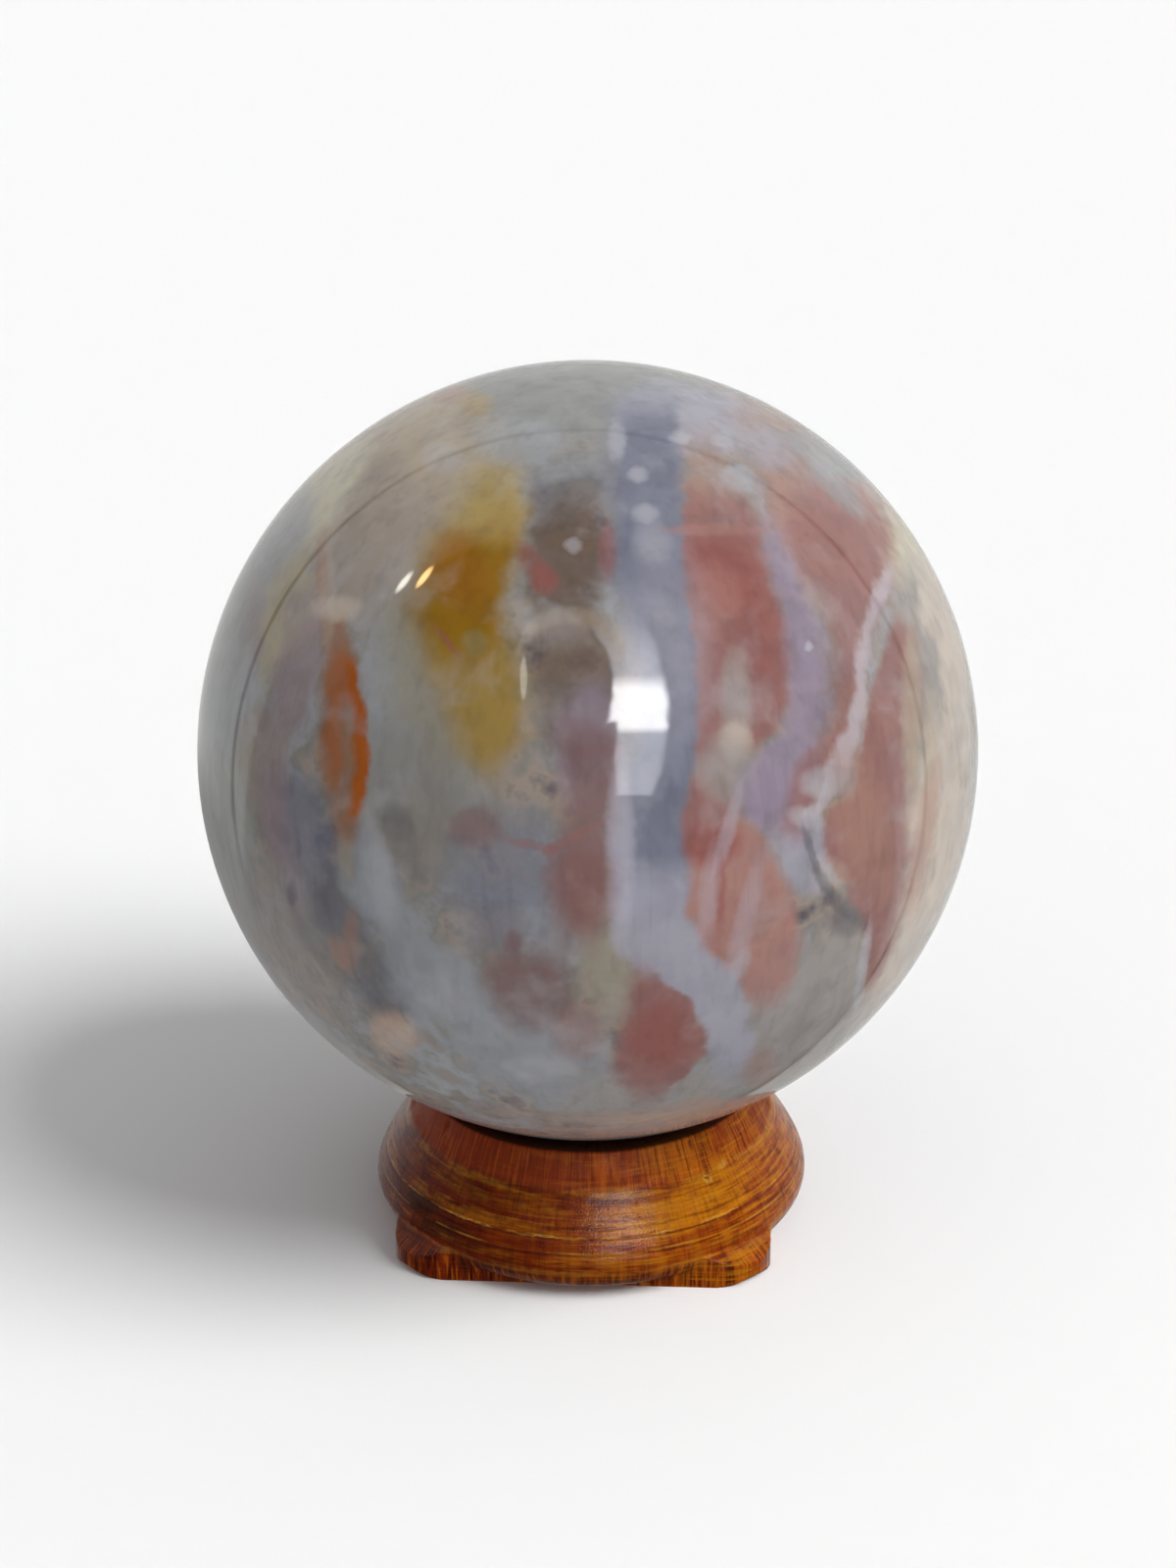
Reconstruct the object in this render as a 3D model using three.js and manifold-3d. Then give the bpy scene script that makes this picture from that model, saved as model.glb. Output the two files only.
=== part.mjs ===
// A polished stone ball resting in the shallow seat of a low turned wooden stand.
// Millimetres, +Z up. The origin is the centre of the stand's underside.

import * as THREE from 'three';
import { mergeVertices } from 'three/addons/utils/BufferGeometryUtils.js';
import Module from 'manifold-3d';

const wasm = await Module();
wasm.setup();

// The ball
const ballDiameter = 80;
const ballSegments = 48;
const ballRings = 32;

// The stand's overall sizes
const standHeight = 14.4;
const rimDiameter = 36.4;
const ringDiameter = 47.2;
const turnedSegments = 64;

// The neck under the rim, and the bulged ring below it
const rimEdgeRadius = 0.4;
const neckHeight = 3.5;
const neckFlare = 1.7;
const ringWidestHeight = 3.8;
const ringCurveSteps = 9;
const bulgeHandleLow = 0.3;
const bulgeHandleHigh = 0.3;
const bulgeHandleOut = 0.36;

// The square foot with rounded corners, left from the block that the ring was turned from
const footWidth = 39.6;
const footCornerRadius = 5.2;
const footCornerSegments = 8;
const footShoulderHeight = 2.1;
const footCornerEase = 1.6;
const footEnvelopeClearance = 0.2;
const footEnvelopeOverrun = 1;
const edgeArcSteps = 4;

// The ring's underside runs in to the foot's flats and stops just above the ground
const undersideInset = 1.0;
const undersideLift = 0.3;
const undersideFullness = 2.0;

// The dished seat and the blind recess inside it, which keeps clear of the ball's lowest point
const seatDiameter = 24.2;
const seatDishDepth = 1.3;
const recessDepth = 3.0;
const recessFloorTaper = 0.5;
const ballSeatClearance = 0.3;

const ballRadius = ballDiameter / 2;
const rimRadius = rimDiameter / 2;
const ringRadius = ringDiameter / 2;
const seatRadius = seatDiameter / 2;
const footHalf = footWidth / 2;

// The ball sits on the seat's inner edge, a clearance away from it
const seatHeight = standHeight - seatDishDepth;
const ballCentreHeight = seatHeight
  + Math.sqrt((ballRadius + ballSeatClearance) ** 2 - seatRadius ** 2);

function quarterArc(centreX, centreY, radius, fromAngle, steps) {
  const points = [];
  for (let i = 0; i <= steps; i++) {
    const angle = fromAngle + (Math.PI / 2) * (i / steps);
    points.push(new THREE.Vector2(
      centreX + radius * Math.cos(angle),
      centreY + radius * Math.sin(angle),
    ));
  }
  return points;
}

// A quarter of a superellipse from its low inner end out to its widest point
function undersideCurve(innerRadius, innerHeight, outerRadius, outerHeight, steps) {
  const points = [];
  for (let i = 0; i <= steps; i++) {
    const angle = (Math.PI / 2) * (i / steps);
    const out = Math.pow(Math.sin(angle), 2 / undersideFullness);
    const down = Math.pow(Math.cos(angle), 2 / undersideFullness);
    points.push(new THREE.Vector2(
      innerRadius + (outerRadius - innerRadius) * out,
      outerHeight - (outerHeight - innerHeight) * down,
    ));
  }
  return points;
}

// The bulge from the widest point up to the foot of the neck
function bulgeCurve(lowRadius, lowHeight, highRadius, highHeight, steps) {
  const curve = new THREE.CubicBezierCurve(
    new THREE.Vector2(lowRadius, lowHeight),
    new THREE.Vector2(lowRadius, lowHeight + (highHeight - lowHeight) * bulgeHandleLow),
    new THREE.Vector2(
      highRadius + (lowRadius - highRadius) * bulgeHandleOut,
      highHeight - (highHeight - lowHeight) * bulgeHandleHigh,
    ),
    new THREE.Vector2(highRadius, highHeight),
  );
  return curve.getPoints(steps);
}

function turnedBodyGeometry() {
  const undersideRadius = footHalf - undersideInset;
  const neckFootHeight = standHeight - neckHeight;
  const neckFootRadius = rimRadius + neckFlare;
  const recessFloor = seatHeight - recessDepth;
  const outline = [
    new THREE.Vector2(0, undersideLift),
    ...undersideCurve(undersideRadius, undersideLift, ringRadius, ringWidestHeight, ringCurveSteps),
    ...bulgeCurve(ringRadius, ringWidestHeight, neckFootRadius, neckFootHeight, ringCurveSteps).slice(1),
    ...quarterArc(
      rimRadius - rimEdgeRadius, standHeight - rimEdgeRadius, rimEdgeRadius, 0, edgeArcSteps,
    ),
    new THREE.Vector2(seatRadius, seatHeight),
    new THREE.Vector2(seatRadius - recessFloorTaper, recessFloor),
    new THREE.Vector2(0, recessFloor),
  ];
  const geometry = new THREE.LatheGeometry(outline, turnedSegments);
  geometry.rotateX(Math.PI / 2);
  return geometry;
}

function roundedSquare(half, corner) {
  const straight = half - corner;
  const shape = new THREE.Shape();
  shape.moveTo(half, -straight);
  shape.lineTo(half, straight);
  shape.absarc(straight, straight, corner, 0, Math.PI / 2, false);
  shape.lineTo(-straight, half);
  shape.absarc(-straight, straight, corner, Math.PI / 2, Math.PI, false);
  shape.lineTo(-half, -straight);
  shape.absarc(-straight, -straight, corner, Math.PI, Math.PI * 1.5, false);
  shape.lineTo(straight, -half);
  shape.absarc(straight, -straight, corner, Math.PI * 1.5, Math.PI * 2, false);
  return shape;
}

function footBlockGeometry() {
  return new THREE.ExtrudeGeometry(roundedSquare(footHalf, footCornerRadius), {
    depth: ringWidestHeight,
    bevelEnabled: false,
    curveSegments: footCornerSegments,
  });
}

// The turned envelope that eases the foot's corners, below and up to the ring
function footEnvelopeGeometry() {
  const reach = (footHalf - footCornerRadius) * Math.SQRT2 + footCornerRadius + footEnvelopeClearance;
  const below = -footEnvelopeOverrun;
  const above = ringWidestHeight + footEnvelopeOverrun;
  const outline = [
    new THREE.Vector2(0, below),
    new THREE.Vector2(reach - footCornerEase, below),
    ...quarterArc(reach - footCornerEase, footCornerEase, footCornerEase, -Math.PI / 2, edgeArcSteps),
    new THREE.Vector2(reach, footShoulderHeight),
    new THREE.Vector2(ringRadius - footEnvelopeClearance, ringWidestHeight),
    new THREE.Vector2(ringRadius - footEnvelopeClearance, above),
    new THREE.Vector2(0, above),
  ];
  const geometry = new THREE.LatheGeometry(outline, turnedSegments);
  geometry.rotateX(Math.PI / 2);
  return geometry;
}

function toSolid(geometry) {
  const bare = geometry.clone();
  bare.deleteAttribute('normal');
  bare.deleteAttribute('uv');
  const merged = mergeVertices(bare, 1e-5);
  const vertProperties = Float32Array.from(merged.attributes.position.array);
  const triVerts = new Uint32Array(keepRealTriangles(merged.index.array));
  return new wasm.Manifold(new wasm.Mesh({ numProp: 3, vertProperties, triVerts }));
}

// Triangles that collapse to an edge at a pole or on the axis are left out
function keepRealTriangles(index) {
  const kept = [];
  for (let i = 0; i < index.length; i += 3) {
    const [a, b, c] = [index[i], index[i + 1], index[i + 2]];
    if (a !== b && b !== c && c !== a) {
      kept.push(a, b, c);
    }
  }
  return kept;
}

function toGeometry(solid) {
  const mesh = solid.getMesh();
  const geometry = new THREE.BufferGeometry();
  geometry.setAttribute('position', new THREE.BufferAttribute(mesh.vertProperties, 3));
  geometry.setIndex(new THREE.BufferAttribute(mesh.triVerts, 1));
  geometry.computeVertexNormals();
  return geometry;
}

function makeBall() {
  const geometry = new THREE.SphereGeometry(ballRadius, ballSegments, ballRings);
  geometry.rotateX(Math.PI / 2);
  const material = new THREE.MeshStandardMaterial({
    color: 0xa9a3a6,
    roughness: 0.12,
    metalness: 0,
  });
  const mesh = new THREE.Mesh(geometry, material);
  mesh.name = 'stone_sphere';
  mesh.position.z = ballCentreHeight;
  return mesh;
}

function makeStand() {
  const foot = toSolid(footBlockGeometry()).intersect(toSolid(footEnvelopeGeometry()));
  const body = toSolid(turnedBodyGeometry()).add(foot);
  const material = new THREE.MeshStandardMaterial({
    color: 0xa5611f,
    roughness: 0.3,
    metalness: 0,
  });
  const mesh = new THREE.Mesh(toGeometry(body), material);
  mesh.name = 'turned_stand';
  return mesh;
}

const ornament = new THREE.Group();
ornament.add(makeStand());
ornament.add(makeBall());

export default ornament;
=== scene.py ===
# A polished stone ball in the seat of its low turned wooden stand.
# Places are in millimetres in the lists below, and in metres in the meshes.
import math

import bmesh
import bpy
from mathutils import Matrix, Vector, noise


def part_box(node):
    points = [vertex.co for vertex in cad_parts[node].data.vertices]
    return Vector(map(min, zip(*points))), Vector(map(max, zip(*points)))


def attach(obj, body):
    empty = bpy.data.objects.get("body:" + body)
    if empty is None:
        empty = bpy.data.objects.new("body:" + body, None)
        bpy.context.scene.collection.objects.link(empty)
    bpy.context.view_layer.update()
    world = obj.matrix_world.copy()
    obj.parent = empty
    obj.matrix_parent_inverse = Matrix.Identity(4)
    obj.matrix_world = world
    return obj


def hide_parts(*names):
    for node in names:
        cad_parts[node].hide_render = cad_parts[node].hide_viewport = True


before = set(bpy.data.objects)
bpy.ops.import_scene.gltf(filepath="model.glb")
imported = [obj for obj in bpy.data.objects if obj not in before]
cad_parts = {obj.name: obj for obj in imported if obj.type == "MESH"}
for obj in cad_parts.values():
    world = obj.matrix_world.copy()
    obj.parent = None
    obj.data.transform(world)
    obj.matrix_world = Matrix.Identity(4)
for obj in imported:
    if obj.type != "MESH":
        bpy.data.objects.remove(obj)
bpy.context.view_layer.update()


# The camera stands close in front and looks down at the side with the yellow and orange figure.
# Its distance hides the seat behind the ball and shows a little less than half of the stone.
mm = 0.001
ball_low, ball_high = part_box("stone_sphere")
ball_centre = (ball_low + ball_high) / 2
camera_distance = 244.3
camera_azimuth = math.radians(4)
camera_elevation = math.radians(19.5)
camera_roll = math.radians(-0.5)
aim_below_centre = 3.41
camera_lens = 54
camera_sensor = 36
nearest_seen = 10 * mm
farthest_seen = 20

to_camera = Vector((
    math.sin(camera_azimuth) * math.cos(camera_elevation),
    -math.cos(camera_azimuth) * math.cos(camera_elevation),
    math.sin(camera_elevation),
))
level_right = Vector((math.cos(camera_azimuth), math.sin(camera_azimuth), 0))
level_up = to_camera.cross(level_right)
seen_right = level_right * math.cos(camera_roll) + level_up * math.sin(camera_roll)
seen_up = to_camera.cross(seen_right)


def add_object(name, data):
    """Makes an object from its data and puts it in the scene."""
    made = bpy.data.objects.new(name, data)
    bpy.context.scene.collection.objects.link(made)
    return made


camera_data = bpy.data.cameras.new("camera")
camera_data.lens = camera_lens
camera_data.sensor_width = camera_sensor
camera_data.clip_start = nearest_seen
camera_data.clip_end = farthest_seen
camera = add_object("camera", camera_data)
camera.location = ball_centre + to_camera * camera_distance * mm
aim = ball_centre - level_up * aim_below_centre * mm
looking = (aim - camera.location).to_track_quat("-Z", "Y")
camera.rotation_mode = "QUATERNION"
camera.rotation_quaternion = looking @ Matrix.Rotation(camera_roll, 3, "Z").to_quaternion()
bpy.context.scene.camera = camera


# The stand is one block of pale hardwood, stained orange-brown and varnished.
# A neck, a rim and a bulged ring were turned on it, down to a square foot with rounded corners.
# The seat is dished, and a shallow blind recess inside it keeps clear of the ball.
stand_low, stand_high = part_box("turned_stand")
stand_height = (stand_high.z - stand_low.z) / mm
ring_radius = (stand_high.x - stand_low.x) / mm / 2
ring_widest_height = 3.8
rim_radius = 18.2
rim_edge = 0.4
neck_height = 3.5
neck_flare = 1.7
foot_half = 19.8
foot_corner = 5.2
foot_corner_ease = 1.6
foot_shoulder = 2.1
underside_inset = 1.0
underside_lift = 0.3
seat_radius = 12.1
seat_dish = 1.3
recess_depth = 3.0
recess_taper = 0.5
envelope_clearance = 0.2
bulge_handle = 0.3
bulge_handle_out = 0.36
around_steps = 440
inner_corner_softness = 0.14

# How far wear and an unsteady gouge went, in millimetres
broad_wear = 0.05
fine_wear = 0.012
seat_wear = 0.03
groove_wander = 0.06
shoulder_cut = 0.07
shoulder_wander = 0.28

# Grooves left by the gouge: height, depth and half width
lathe_grooves = [
    (6.80, 0.085, 0.13),
    (7.75, 0.045, 0.16),
    (5.30, 0.075, 0.15),
    (9.10, 0.020, 0.12),
    (8.45, 0.018, 0.10),
    (4.45, 0.030, 0.12),
    (12.60, 0.012, 0.10),
]

# Short drying cracks in the neck: degrees round from the front, lowest and highest height, depth
neck_cracks = [
    (-16.0, 12.2, 14.1, 0.26),
    (-3.0, 13.0, 13.9, 0.16),
    (-51.0, 12.4, 14.2, 0.22),
    (38.0, 13.2, 14.2, 0.14),
    (123.0, 12.6, 14.1, 0.20),
    (-148.0, 12.9, 14.1, 0.16),
]
crack_half_width = 1.0

neck_foot_height = stand_height - neck_height
neck_foot_radius = rim_radius + neck_flare
foot_reach = (foot_half - foot_corner) * math.sqrt(2) + foot_corner + envelope_clearance


def square_reach(angle):
    """How far the rounded square reaches at an angle round the axis."""
    folded = abs((angle + math.pi / 4) % (math.pi / 2) - math.pi / 4)
    straight = foot_half - foot_corner
    if foot_half * math.tan(folded) <= straight:
        return foot_half / math.cos(folded)
    towards = straight * (math.cos(folded) + math.sin(folded))
    return towards + math.sqrt(towards ** 2 - 2 * straight ** 2 + foot_corner ** 2)


def eased_reach(height):
    """How far the turning left the foot's corners at a height."""
    if height < foot_corner_ease:
        drop = foot_corner_ease - height
        return foot_reach - foot_corner_ease + math.sqrt(foot_corner_ease ** 2 - drop ** 2)
    if height < foot_shoulder:
        return foot_reach
    share = (height - foot_shoulder) / (ring_widest_height - foot_shoulder)
    return foot_reach + (ring_radius - envelope_clearance - foot_reach) * min(share, 1)


def bezier(points, share):
    """A point on a cubic curve through four control points."""
    rest = 1 - share
    weights = (rest ** 3, 3 * rest ** 2 * share, 3 * rest * share ** 2, share ** 3)
    return tuple(sum(w * p[axis] for w, p in zip(weights, points)) for axis in (0, 1))


def shares(steps):
    """Even shares of a run, from its first step up to the whole."""
    return [step / steps for step in range(1, steps + 1)]


def turned_outline():
    """The turned profile, as radius and height, up to the rim. Lowest down there is only the foot."""
    rows = [(0.0, height) for height in (0.05, 0.12, 0.2, 0.28)]
    inner = foot_half - underside_inset
    for share in shares(40):
        angle = math.pi / 2 * share
        rows.append((
            inner + (ring_radius - inner) * math.sin(angle),
            ring_widest_height - (ring_widest_height - underside_lift) * math.cos(angle),
        ))
    rise = neck_foot_height - ring_widest_height
    bulge = [
        (ring_radius, ring_widest_height),
        (ring_radius, ring_widest_height + bulge_handle * rise),
        (
            neck_foot_radius + bulge_handle_out * (ring_radius - neck_foot_radius),
            neck_foot_height - bulge_handle * rise,
        ),
        (neck_foot_radius, neck_foot_height),
    ]
    rows += [bezier(bulge, share) for share in shares(100)]
    for share in shares(28):
        rows.append((
            neck_foot_radius + (rim_radius - neck_foot_radius) * share,
            neck_foot_height + (stand_height - rim_edge - neck_foot_height) * share,
        ))
    for share in shares(5):
        angle = math.pi / 2 * share
        rows.append((
            rim_radius - rim_edge + rim_edge * math.cos(angle),
            stand_height - rim_edge + rim_edge * math.sin(angle),
        ))
    return rows


def bowl_outline():
    """The seat and the recess inside it, from the rim in to the axis."""
    seat_height = stand_height - seat_dish
    rows = []
    for share in shares(12):
        rows.append((
            rim_radius - rim_edge + (seat_radius - rim_radius + rim_edge) * share,
            stand_height - seat_dish * share,
        ))
    for share in shares(4):
        rows.append((seat_radius - recess_taper * share, seat_height - recess_depth * share))
    for share in (0.75, 0.5, 0.25):
        rows.append(((seat_radius - recess_taper) * share, seat_height - recess_depth))
    return rows


def wood_loss(angle, height):
    """How far wear, gouge marks and cracks lie below the clean turned surface."""
    round_front = (math.degrees(angle) + 270) % 360 - 180
    here = Vector((math.cos(angle) * 2.2, math.sin(angle) * 2.2, height * 0.22))
    loss = broad_wear * noise.noise(here) + broad_wear
    loss += fine_wear * noise.noise(Vector((here.x * 9, here.y * 9, height * 0.8)))
    for groove_height, depth, half_width in lathe_grooves:
        if abs(height - groove_height) > 4 * half_width:
            continue
        wander = groove_wander * noise.noise(Vector((here.x, here.y, groove_height)))
        away = (height - groove_height - wander) / half_width
        patchy = 0.65 + 0.7 * noise.noise(Vector((here.x * 1.6, here.y * 1.6, groove_height * 3)))
        loss += depth * max(patchy, 0.15) * math.exp(-away * away)
    shoulder = neck_foot_height + shoulder_wander * noise.noise(here * 1.7)
    if height < neck_foot_height + 1:
        loss += shoulder_cut / (1 + math.exp(-(height - shoulder) / 0.06))
    for crack_angle, low, high, depth in neck_cracks:
        off = (round_front - crack_angle) / crack_half_width
        if abs(off) < 3 and low < height < high:
            loss += depth * math.exp(-off * off) * math.sin(math.pi * (height - low) / (high - low))
    return loss


def turned_stand_mesh():
    """The worn stand as rings round its axis, from the middle of its underside to the recess."""
    vertices = [(0, 0, 0)]
    rings = []

    def add_ring(reach_at, height_at):
        rings.append(len(vertices))
        for step in range(around_steps):
            angle = 2 * math.pi * step / around_steps
            reach = reach_at(angle)
            vertices.append((
                reach * math.cos(angle) * mm,
                reach * math.sin(angle) * mm,
                height_at(angle) * mm,
            ))

    def foot_at(angle, height):
        return min(square_reach(angle), eased_reach(height))

    for share in (0.3, 0.6, 0.85, 0.97, 1.0):
        add_ring(lambda angle: share * foot_at(angle, 0), lambda angle: 0)
    for radius, height in turned_outline():
        def reach_at(angle):
            foot = foot_at(angle, height)
            apart = math.sqrt((radius - foot) ** 2 + inner_corner_softness ** 2)
            skin = (radius + foot + apart) / 2 if height < ring_widest_height + 0.5 else radius
            return skin - wood_loss(angle, height)
        add_ring(reach_at, lambda angle: height)
    for radius, height in bowl_outline():
        def height_at(angle):
            here = Vector((math.cos(angle) * radius * 0.3, math.sin(angle) * radius * 0.3, height))
            return height - seat_wear - seat_wear * noise.noise(here)
        add_ring(lambda angle: radius - broad_wear, height_at)
    vertices.append((0, 0, (stand_height - seat_dish - recess_depth) * mm))

    faces = []
    for step in range(around_steps):
        after = (step + 1) % around_steps
        faces.append((0, rings[0] + after, rings[0] + step))
        faces.append((len(vertices) - 1, rings[-1] + step, rings[-1] + after))
        for lower, upper in zip(rings, rings[1:]):
            faces.append((lower + step, lower + after, upper + after, upper + step))
    mesh = bpy.data.meshes.new("turned_stand")
    mesh.from_pydata(vertices, [], faces)
    mesh.polygons.foreach_set("use_smooth", [True] * len(mesh.polygons))
    mesh.update()
    return mesh


class Wire:
    """One output of a shader's node, so that shader sums are written as Python sums."""

    def __init__(self, tree, socket=None):
        self.tree = tree
        self.socket = socket

    def node(self, kind, settings, inputs, output=0):
        """Adds a node, sets it up, fills or links its inputs, and gives one of its outputs."""
        made = self.tree.nodes.new("ShaderNode" + kind)
        for name, value in settings.items():
            if name == "stops":
                ramp = made.color_ramp
                while len(ramp.elements) < len(value):
                    ramp.elements.new(0.5)
                for element, (place, colour) in zip(ramp.elements, value):
                    element.position = place
                    element.color = colour
            elif name == "points":
                made.mapping.use_clip = False
                made.mapping.extend = "HORIZONTAL"
                curve = made.mapping.curves[0]
                for point, place in zip(curve.points, (value[0], value[-1])):
                    point.location = place
                for place in value[1:-1]:
                    curve.points.new(*place)
                made.mapping.update()
            else:
                setattr(made, name, value)
        for name, value in inputs.items():
            if isinstance(value, Wire):
                self.tree.links.new(value.socket, made.inputs[name])
            else:
                made.inputs[name].default_value = value
        return Wire(self.tree, made.outputs[output])

    def sum(self, operation, *others):
        return self.node("Math", {"operation": operation}, dict(enumerate((self, *others))))

    def __add__(self, other):
        return self.sum("ADD", other)

    __radd__ = __add__

    def __sub__(self, other):
        return self.sum("SUBTRACT", other)

    def __rsub__(self, other):
        return self.node("Math", {"operation": "SUBTRACT"}, {0: other, 1: self})

    def __mul__(self, other):
        return self.sum("MULTIPLY", other)

    def into(self, socket):
        """Links this output to a socket of a shader."""
        self.tree.links.new(self.socket, socket)

    def fade(self, start, end, low=0.0, high=1.0):
        """Goes smoothly from low, where the value is start, to high, where it is end."""
        return self.node(
            "MapRange",
            {"interpolation_type": "SMOOTHSTEP", "clamp": False},
            {"Value": self, "From Min": start, "From Max": end, "To Min": low, "To Max": high},
        )

    def vector(self, operation, *others):
        return self.node("VectorMath", {"operation": operation}, dict(enumerate((self, *others))))

    def scaled(self, by):
        return self.node("VectorMath", {"operation": "SCALE"}, {0: self, "Scale": by})

    def along(self, axis):
        return self.node("VectorMath", {"operation": "DOT_PRODUCT"}, {0: self, 1: axis}, "Value")

    def length(self):
        return self.node("VectorMath", {"operation": "LENGTH"}, {0: self}, "Value")

    def part(self, axis):
        return self.node("SeparateXYZ", {}, {0: self}, axis)

    def grain(self, scale, detail, rough, output="Fac"):
        """Soft random figure at this place, with so many features to the millimetre."""
        inputs = {"Vector": self, "Scale": scale, "Detail": detail, "Roughness": rough}
        return self.node("TexNoise", {}, inputs, output)

    def stirred(self, scale, reach, detail=2.0):
        """This place, moved at random by up to about half of reach."""
        push = self.grain(scale, detail, 0.5, "Color").vector("SUBTRACT", (0.5, 0.5, 0.5))
        return self.vector("ADD", push.scaled(reach))

    def painted(self, colour, mask):
        """This colour with another laid over it where the mask is 1."""
        return self.node("Mix", {"data_type": "RGBA"}, {0: mask, 6: self, 7: colour}, 2)

    def toned(self, colour, mask):
        """This colour darkened and tinted by another where the mask is 1."""
        settings = {"data_type": "RGBA", "blend_type": "MULTIPLY"}
        return self.node("Mix", settings, {0: mask, 6: self, 7: colour}, 2)

    def ellipse(self, across, up, half_across, half_up, turn=0.0):
        """The square of the distance from an ellipse's middle, 1 on its edge, on a flat place."""
        if turn == 0:
            stretch = (1 / half_across, 1 / half_up, 0)
            local = self.vector("MULTIPLY_ADD", stretch, (-across / half_across, -up / half_up, 0))
            return local.along(local)
        cosine, sine = math.cos(math.radians(turn)), math.sin(math.radians(turn))
        along_middle = (across * cosine + up * sine) / half_across
        cross_middle = (up * cosine - across * sine) / half_up
        lengthways = self.along((cosine / half_across, sine / half_across, 0)) - along_middle
        crossways = self.along((-sine / half_up, cosine / half_up, 0)) - cross_middle
        return crossways * crossways + lengthways * lengthways

    def patch(self, across, up, half_across, half_up, turn=0.0, soft=0.5, strength=1.0):
        """Reaches strength inside an ellipse laid flat on this place, and fades out round its edge."""
        square = self.ellipse(across, up, half_across, half_up, turn)
        return square.fade((1 + soft) ** 2, (1 - soft) ** 2, 0, strength)


def srgb(red, green, blue):
    """A colour as a screen shows it, 0 to 255, as the shader's linear values."""
    def linear(value):
        share = value / 255
        return share / 12.92 if share <= 0.04045 else ((share + 0.055) / 1.055) ** 2.4
    return (linear(red), linear(green), linear(blue), 1)


def new_material(name, **values):
    """A material, the place to start its wires from, and its shader."""
    material = bpy.data.materials.new(name)
    material.use_nodes = True
    tree = material.node_tree
    shader = tree.nodes["Principled BSDF"]
    for socket, value in values.items():
        shader.inputs[socket.replace("_", " ")].default_value = value
    return material, Wire(tree), shader


wood, start, wood_shader = new_material("varnished_wood_turned", Specular_IOR_Level=0.24, IOR=1.45)
place = start.node("TexCoord", {}, {}, "Object").scaled(1 / mm)
height = place.part("Z")
reach = place.vector("MULTIPLY", (1, 1, 0)).length()

# The block's fibres stand upright, so the grain is drawn out along the height
fibre = place.vector("MULTIPLY", (1, 1, 0.07))
fine_fibre = fibre.grain(4.2, 3, 0.65)
broad_fibre = fibre.grain(1.1, 2, 0.5)
growth = place.stirred(0.12, 5.0).vector("MULTIPLY", (1, 1, 0.16))
year_rings = growth.vector("SUBTRACT", (34, 18, 0)).vector("MULTIPLY", (1, 1, 0)).length()
year_wave = (year_rings * 1.9).sum("SINE") * 0.5 + 0.5

# The stand's side rolled out flat, measured round a circle of this radius
circle = 21


def rolled_out(where):
    """How far a place lies round from the front, and how high."""
    round_front = where.part("X").sum("ARCTAN2", where.part("Y") * -1.0) * circle
    return start.node("CombineXYZ", {}, {"X": round_front, "Y": where.part("Z")})


unrolled = rolled_out(place)
ragged = place.stirred(1.1, 1.3, 4)
ragged_height = ragged.part("Z")
ragged_unrolled = rolled_out(ragged)

# The colours of the wood, and the tints that darken them
orange_brown = srgb(140, 58, 4)
red_brown = srgb(100, 32, 2)
amber_brown = srgb(156, 72, 8)
golden = srgb(178, 108, 8)
mustard_streak = srgb(184, 122, 24)
dark_stain_and_shade = srgb(52, 20, 7)
pale_wear_and_highlight = srgb(196, 140, 56)
bright_orange = srgb(196, 96, 22)
neck_orange = srgb(158, 56, 3)
fibre_orange = srgb(200, 104, 8)
turned_gold = srgb(190, 124, 8)
crack_black = srgb(28, 12, 6)
bare_underside = srgb(120, 66, 26)
seat_shade_brown = srgb(40, 22, 12)
left_shade_tint = srgb(186, 130, 112)
blotch_tint = srgb(150, 110, 90)
fibre_tint = srgb(120, 84, 70)
turned_tint = srgb(160, 108, 76)

colour = start.node("ValToRGB", {"stops": [
    (0.25, red_brown), (0.46, orange_brown), (0.62, amber_brown), (0.78, golden),
]}, {"Fac": broad_fibre * 0.6 + fine_fibre * 0.4})
colour = colour.painted(golden, year_wave.fade(0.62, 0.95, 0, 0.28))

# Painted shade: the side that faces left, away from the key light, is darkened and reddened
towards_lit_right = place.part("X").fade(-14.5, 17)
colour = colour.toned(left_shade_tint, 1 - towards_lit_right)

# The varnish wore and darkened in bands round the ring, and one thin pale band is a painted highlight:
# height, half width, colour, strength
wear_and_highlight_bands = [
    (10.6, 0.40, mustard_streak, 0.55),
    (9.4, 0.7, golden, 0.30),
    (7.55, 0.55, golden, 0.50),
    # Painted highlight: the thin pale line along the upper edge of the deepest groove
    (6.95, 0.12, pale_wear_and_highlight, 0.80),
    (6.0, 0.65, red_brown, 0.40),
    (4.6, 0.45, golden, 0.35),
    (3.4, 0.35, pale_wear_and_highlight, 0.25),
]
around = place.vector("MULTIPLY", (1, 1, 0)).vector("NORMALIZE").scaled(circle)
streaky = around.scaled(0.3).vector("ADD", place.vector("MULTIPLY", (0, 0, 1.4))).grain(0.7, 4, 0.6)
for band_height, half_width, band_colour, strength in wear_and_highlight_bands:
    near = (ragged_height * 0.55 + height * 0.45 - band_height).sum("ABSOLUTE")
    mask = near.fade(half_width * 1.25, half_width * 0.35) * streaky.fade(0.40, 0.58) * strength
    colour = colour.painted(band_colour, mask)

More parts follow.
